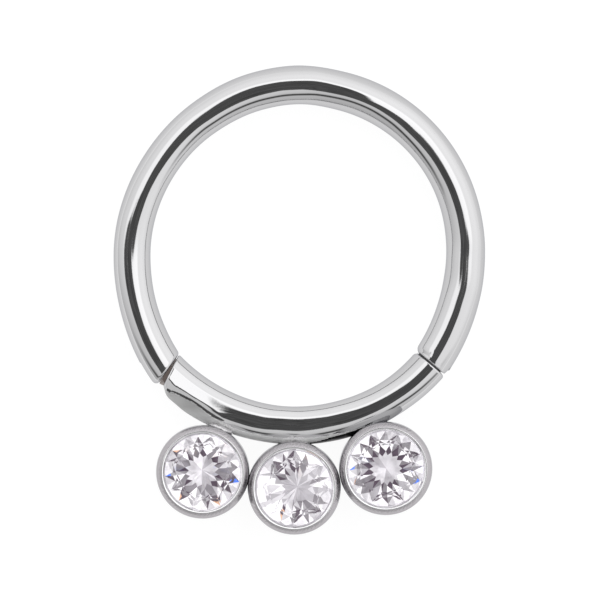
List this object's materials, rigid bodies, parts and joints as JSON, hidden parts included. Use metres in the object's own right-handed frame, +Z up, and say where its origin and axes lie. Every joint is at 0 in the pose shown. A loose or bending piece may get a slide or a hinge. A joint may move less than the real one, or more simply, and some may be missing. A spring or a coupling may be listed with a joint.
{
  "type": "hinged piercing ring",
  "caption": "Round wire piercing ring with a hinged lower segment that carries a row of bezel-set round crystals.",
  "frame": {"origin": "on the surface that the ring lies on, under the middle of its outline", "axes": "+Z up, out of the front of the ring; +Y from the crystals towards the top of the ring; +X towards the catch"},
  "size_m": [0.0116, 0.0146, 0.0017],
  "materials": {
    "polished_steel": "polished steel wire, satin cups",
    "crystal": "clear faceted crystal"
  },
  "bodies": {
    "ring": {"ring_body": "polished_steel", "hinge_pin": "polished_steel"},
    "segment": {"hinged_segment": "polished_steel", "stone_left": "crystal", "stone_middle": "crystal", "stone_right": "crystal"}
  },
  "joints": [
    {"name": "segment_hinge", "type": "hinge", "parent": "ring", "child": "segment", "pos_m": [-0.00456, -0.00202, 0.0006], "axis": [0, 0, -1], "range_deg": [0, 90]}
  ]
}
